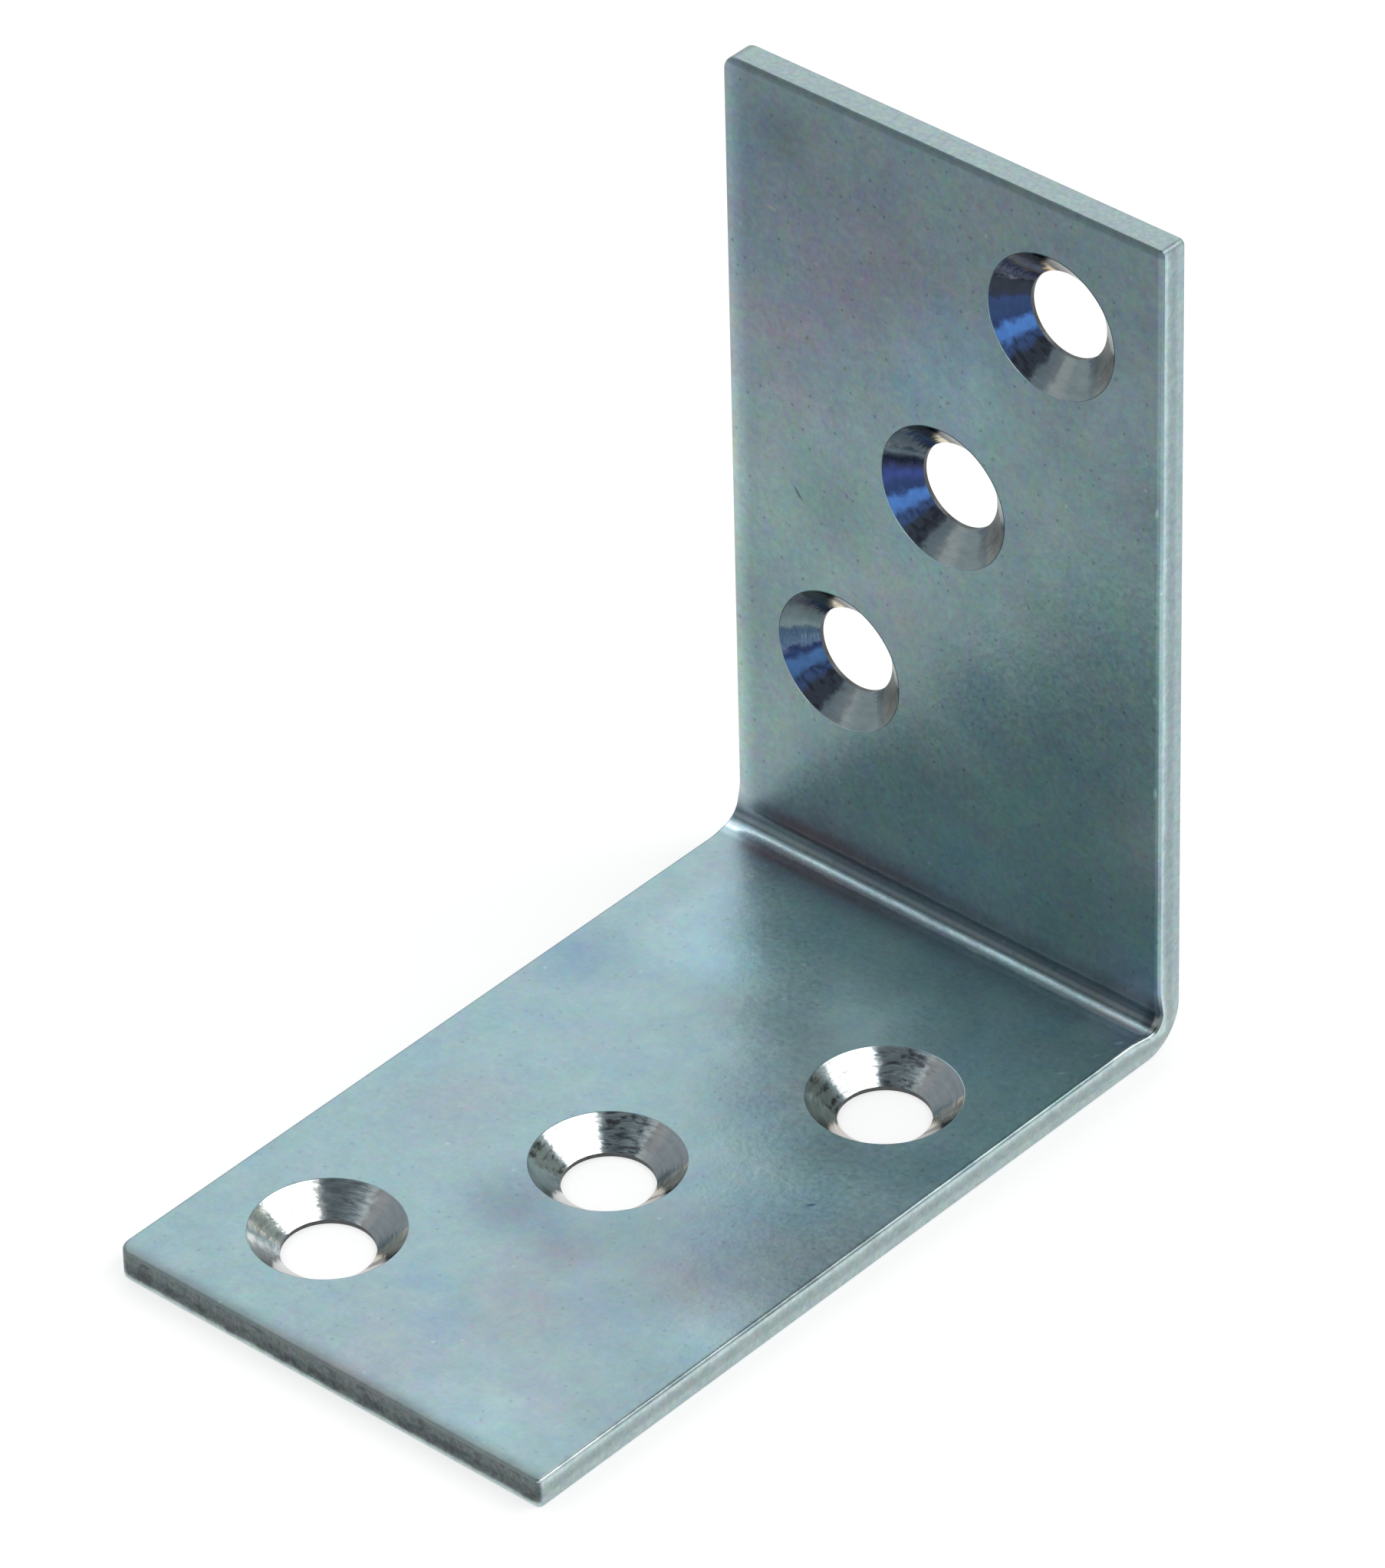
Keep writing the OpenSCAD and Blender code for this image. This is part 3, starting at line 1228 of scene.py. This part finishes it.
class Bracket:
    """The whole bracket: its strip and the strip's finishes.

    Attributes:
        PATCHES: Patches that show in the photo: tarnish, and painted light and shade where a patch only
            lightens or darkens.
        NICKS_AND_GLINTS: Marks that show in the photo: scratches, and painted glints along the right
            edges and by the bulge.
    """

    # Tinted patches are tarnish; plain lighter ones are painted light, plain darker ones painted shade.
    PATCHES = (
        Patch(Leg.UPRIGHT, -8.5, 48.5, 14.5, (0.99, 0.87, 0.96)),
        Patch(Leg.UPRIGHT, -14.0, 40.0, 8.0, (1.03, 0.88, 0.95)),
        Patch(Leg.UPRIGHT, -12.5, 56.0, 3.8, (0.75, 0.77, 0.78)),
        Patch(Leg.UPRIGHT, 1.0, 44.0, 8.0, (1.12, 1.24, 1.24)),
        Patch(Leg.UPRIGHT, 15.5, 47.0, 7.0, (1.18, 1.18, 1.18)),
        Patch(Leg.UPRIGHT, 15.0, 33.5, 10.5, (1.16, 1.18, 1.15)),
        Patch(Leg.UPRIGHT, 0.5, 16.5, 6.5, (1.16, 1.14, 1.12)),
        Patch(Leg.UPRIGHT, 17.0, 11.5, 5.0, (0.80, 0.80, 0.82)),
        Patch(Leg.UPRIGHT, -9.0, 30.0, 6.0, (0.76, 0.79, 0.80)),
        Patch(Leg.UPRIGHT, 6.0, 25.0, 6.5, (1.22, 1.22, 1.22)),
        Patch(Leg.UPRIGHT, -16.0, 20.0, 9.0, (0.82, 0.83, 0.84)),
        Patch(Leg.UPRIGHT, 11.0, 8.5, 8.5, (0.80, 0.81, 0.82)),
        Patch(Leg.BASE, -1.5, -11.0, 5.3, (0.74, 0.68, 0.76)),
        Patch(Leg.BASE, 3.5, -12.2, 4.0, (0.84, 0.76, 0.80)),
        Patch(Leg.BASE, 10.5, -10.0, 6.2, (0.97, 0.84, 0.87)),
        Patch(Leg.BASE, 6.0, -17.5, 7.5, (1.04, 0.90, 0.90)),
        Patch(Leg.BASE, -15.0, 10.5, 5.0, (0.80, 0.82, 0.92)),
        Patch(Leg.BASE, -11.0, -6.0, 6.0, (1.04, 0.92, 0.95)),
        Patch(Leg.BASE, 2.0, -27.0, 10.0, (1.08, 0.95, 0.98)),
        Patch(Leg.BASE, 5.5, -8.5, 4.2, (0.84, 0.85, 0.86)),
        Patch(Leg.BASE, 10.0, 6.0, 5.0, (0.68, 0.70, 0.72)),
        Patch(Leg.BASE, 15.0, 7.0, 4.6, (0.76, 0.80, 0.84)),
        Patch(Leg.BASE, 0.0, 10.0, 5.8, (1.18, 1.18, 1.18)),
        Patch(Leg.BASE, 17.5, -12.0, 6.8, (1.34, 1.32, 1.32)),
        Patch(Leg.BASE, 11.0, -27.0, 8.0, (1.14, 1.13, 1.12)),
        Patch(Leg.BASE, -10.0, 18.5, 4.8, (0.82, 0.83, 0.85)),
        Patch(Leg.BASE, 5.0, 19.5, 3.8, (1.30, 1.30, 1.30)),
        Patch(Leg.BASE, 15.0, 26.2, 3.2, (1.40, 1.40, 1.40)),
    )
    NICKS_AND_GLINTS = (
        NickAndGlint(Leg.UPRIGHT, -11.9, 29.7, 0.8, 0.18, 0.9, (0.48, 0.48, 0.5)),
        NickAndGlint(Leg.UPRIGHT, -13.7, 50.3, 0.5, 0.22, 0.1, (1.45, 1.32, 1.05)),
        NickAndGlint(Leg.UPRIGHT, -13.0, 53.8, 0.5, 0.25, -0.3, (1.30, 1.20, 1.05)),
        # Painted glints near the base leg's right edge by the bend.
        NickAndGlint(Leg.BASE, 16.3, 23.2, 0.5, 0.18, 1.2, (1.35, 1.3, 1.3)),
        NickAndGlint(Leg.BASE, 15.8, 20.5, 0.4, 0.18, 0.7, (1.35, 1.3, 1.3)),
        NickAndGlint(Leg.BASE, 16.6, 25.2, 0.4, 0.22, 1.0, (1.5, 1.45, 1.45)),
        NickAndGlint(Leg.BASE, 12.5, 0.5, 0.4, 0.2, 1.0, (0.4, 0.42, 0.5)),
        # Painted glints along the upright leg's right edge.
        NickAndGlint(Leg.UPRIGHT, 17.1, 41.0, 0.2, 0.5, 0.2, (1.7, 1.6, 1.6)),
        NickAndGlint(Leg.UPRIGHT, 17.0, 27.0, 0.2, 0.4, -0.2, (1.6, 1.5, 1.5)),
        NickAndGlint(Leg.UPRIGHT, 17.1, 20.0, 0.2, 0.6, 0.1, (1.7, 1.6, 1.6)),
    )

    def __init__(self) -> None:
        """Takes the sizes from the frame and its record."""
        low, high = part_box("bracket")
        width = 35.0 * MM
        self.sizes = StripSizes(
            width=width,
            thickness=2.0 * MM,
            end_y=low.y,
            back_y=high.y,
            top_z=high.z,
            bulge=high.x - width / 2,
        )
        self.holes = [
            self.hole_at(Vector(mount["pos_m"]), Vector(mount["axis"]), mount["dims"])
            for mount in frame["record"]["mounts"]
            if mount["kind"] == "bore"
        ]

    @staticmethod
    def hole_at(middle: Vector, axis: Vector, dims: dict[str, float]) -> Hole:
        """Gives the hole of one bore in the record.

        Args:
            middle: Middle of its straight wall.
            axis: Direction in which its countersink opens.
            dims: Its sizes in millimetres, as the record names them.

        Returns:
            The hole.
        """
        land = dims["length_mm"] * MM
        return Hole(center=middle - axis * land / 2, axis=axis, radius=dims["r_mm"] * MM, land=land)

    def build(self) -> bpy.types.Object:
        """Models the strip and dresses it.

        Returns:
            The dressed strip.
        """
        strip = Strip(self.sizes, self.holes).build()
        finishes = {
            Skin.INNER: PlatedFinish(
                self.sizes, "zinc_plated_inside", self.PATCHES, self.NICKS_AND_GLINTS, corner=True
            ),
            Skin.OUTER: PlatedFinish(self.sizes, "zinc_plated_outside"),
            Skin.SHEARED: ShearedFinish(self.sizes),
            Skin.SINK: TurnedFinish(),
            Skin.LAND: LandFinish(),
        }
        for skin in Skin:
            strip.data.materials.append(finishes[skin].make())
        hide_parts("bracket")
        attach(strip, "root")
        return strip


@dataclass(frozen=True)
class View:
    """The camera's place, as fitted to the photograph's edges.

    Attributes:
        azimuth: Turn about Z, in degrees; 0 looks along +Y.
        elevation: Height above the floor, in degrees.
        roll: Turn about the line of sight, in degrees.
        distance: Distance from the plane through the target, in metres.
        target: Point that the distance is taken from.
        slide: How far the camera stands to the right of and above the target.
        focal_px: Focal length in pixels of the photograph.
    """

    azimuth: float = 42.292
    elevation: float = 36.130
    roll: float = -1.460
    distance: float = 0.65636
    target: tuple[float, float, float] = (0.0, 0.0, 0.024)
    slide: tuple[float, float] = (0.00286, 0.00359)
    focal_px: float = 14071.8

    def make(self) -> bpy.types.Object:
        """Adds the camera.

        Returns:
            The camera object.
        """
        az, el, roll = (math.radians(v) for v in (self.azimuth, self.elevation, self.roll))
        back = Vector((math.sin(az) * math.cos(el), -math.cos(az) * math.cos(el), math.sin(el)))
        level = Vector((math.cos(az), math.sin(az), 0.0))
        upright = back.cross(level)
        right = math.cos(roll) * level + math.sin(roll) * upright
        up = math.cos(roll) * upright - math.sin(roll) * level
        spot = Vector(self.target) + back * self.distance + right * self.slide[0] + up * self.slide[1]
        data = bpy.data.cameras.new("photo_camera")
        data.sensor_width = 36.0
        data.lens = self.focal_px * data.sensor_width / PHOTO_SIZE[1]
        data.clip_start = 0.01
        data.clip_end = 20.0
        camera = bpy.data.objects.new("photo_camera", data)
        bpy.context.scene.collection.objects.link(camera)
        camera.matrix_world = Matrix.Translation(spot) @ Matrix((right, up, back)).transposed().to_4x4()
        bpy.context.scene.camera = camera
        return camera


@dataclass(frozen=True)
class Lamp:
    """A soft box.

    Attributes:
        name: Its name.
        toward: Direction from the bracket to the box.
        distance: Its distance from the bracket, in metres.
        size: Its width and height, in metres.
        radiance: Brightness of its face, where 1 is white.
        color: Its colour.
        MIDDLE: Point of the bracket that all the boxes face.
    """

    name: str
    toward: tuple[float, float, float]
    distance: float
    size: tuple[float, float]
    radiance: float
    color: Color = (1.0, 1.0, 1.0)

    MIDDLE = (0.0, 0.0, 0.02)

    def make(self) -> bpy.types.Object:
        """Adds the lamp.

        Returns:
            The lamp object.
        """
        data = bpy.data.lights.new(self.name, "AREA")
        data.shape = "RECTANGLE"
        data.size, data.size_y = self.size
        data.energy = self.radiance * math.pi * self.size[0] * self.size[1]
        data.color = self.color
        lamp = bpy.data.objects.new(self.name, data)
        bpy.context.scene.collection.objects.link(lamp)
        aim = Vector(self.toward).normalized()
        side = Vector((0.0, 1.0, 0.0)).cross(aim).normalized()
        turn = Matrix((side, aim.cross(side), aim)).transposed()
        spot = Vector(self.MIDDLE) + aim * self.distance
        lamp.matrix_world = Matrix.Translation(spot) @ turn.to_4x4()
        return lamp


class Studio:
    """Plain pale floor, soft light and camera.

    Attributes:
        LAMPS: The soft boxes.
        WALLS, CEILING: Brightness of the room, where 1 is white.
        ROOM_TONE: Colour of the room.
        FLOOR_SIZE: Length of the floor's sides, in metres.
        FLOOR_DROP: How far the floor lies below the bracket.
        FLOOR_TONE: Colour of the floor in the light.
        FLOOR_GLOW: What the floor adds for the eye and in reflections.
    """

    LAMPS = (
        Lamp("left_box", (-0.54, 0.30, 0.78), 0.8, (0.55, 1.15), 0.95, (0.95, 0.99, 1.0)),
        Lamp("front_box", (-0.54, -0.60, 0.59), 0.8, (0.35, 0.35), 0.30, (1.0, 0.66, 0.48)),
        Lamp("key_box", (0.47, 0.33, 0.82), 0.7, (0.25, 0.87), 3.0),
    )
    WALLS = 0.92
    CEILING = 0.22
    ROOM_TONE = (0.98, 1.0, 1.0, 1.0)
    FLOOR_SIZE = 6.0
    FLOOR_DROP = 0.05 * MM
    FLOOR_TONE = (0.45, 0.45, 0.45, 1.0)
    FLOOR_GLOW = 0.61

    def make_floor(self) -> bpy.types.Object:
        """Adds the floor, white to the eye and pale in reflections.

        Returns:
            The floor.
        """
        bpy.ops.object.select_all(action="DESELECT")
        bpy.ops.mesh.primitive_plane_add(size=self.FLOOR_SIZE, location=(0, 0, -self.FLOOR_DROP))
        floor = bpy.context.active_object
        floor.name = "floor"
        bpy.ops.object.transform_apply(location=True, rotation=True, scale=True)
        b, paint = ShaderBench.material("floor_paint")
        seen = self.seen(b)
        diffuse = b.add("ShaderNodeBsdfDiffuse", {}, {"Color": self.FLOOR_TONE}).outputs[0]
        inputs = {"Color": (1.0, 1.0, 1.0, 1.0), "Strength": seen * self.FLOOR_GLOW}
        glow = b.add("ShaderNodeEmission", {}, inputs)
        both = b.add("ShaderNodeAddShader", {}, {0: diffuse, 1: glow.outputs[0]})
        b.add("ShaderNodeOutputMaterial", {}, {"Surface": both.outputs[0]})
        floor.data.materials.append(paint)
        return floor

    def seen(self, b: ShaderBench) -> Num:
        """Tells rays that look at the floor from those that only gather its light.

        Args:
            b: Bench of the floor's paint.

        Returns:
            1 for the eye, a gloss and a glass, and 0 for the rest.
        """
        rays = b.add("ShaderNodeLightPath", {}, {}).outputs
        glossy = Num(b, rays["Is Glossy Ray"]).over(Num(b, rays["Is Transmission Ray"]))
        return Num(b, rays["Is Camera Ray"]).over(glossy)

    def make_world(self) -> None:
        """Makes the room: white walls under a dim ceiling."""
        world = bpy.data.worlds.new("room")
        bpy.context.scene.world = world
        world.use_nodes = True
        b = ShaderBench(world.node_tree)
        height = b.split(b.add("ShaderNodeTexCoord", {}, {}).outputs["Generated"])[2]
        strength = height.step(0.60, 0.88) * (self.CEILING - self.WALLS) + self.WALLS
        inputs = {"Color": self.ROOM_TONE, "Strength": strength}
        background = b.add("ShaderNodeBackground", {}, inputs)
        b.add("ShaderNodeOutputWorld", {}, {"Surface": background.outputs[0]})

    def build(self) -> None:
        """Sets up the floor, the lamps, the world and the camera."""
        self.make_floor()
        self.make_world()
        for lamp in self.LAMPS:
            lamp.make()
            LOG.info("lamp: %s", lamp.name)
        View().make()
        bpy.context.scene.view_settings.view_transform = "Standard"


def main() -> None:
    """Builds the bracket and the studio, and logs the piece's faces and the lamps."""
    logging.basicConfig(level=logging.INFO, format="%(name)s: %(message)s")
    strip = Bracket().build()
    LOG.info("piece: %s, %d faces", strip.name, len(strip.data.polygons))
    Studio().build()


if __name__ == "__main__":
    main()
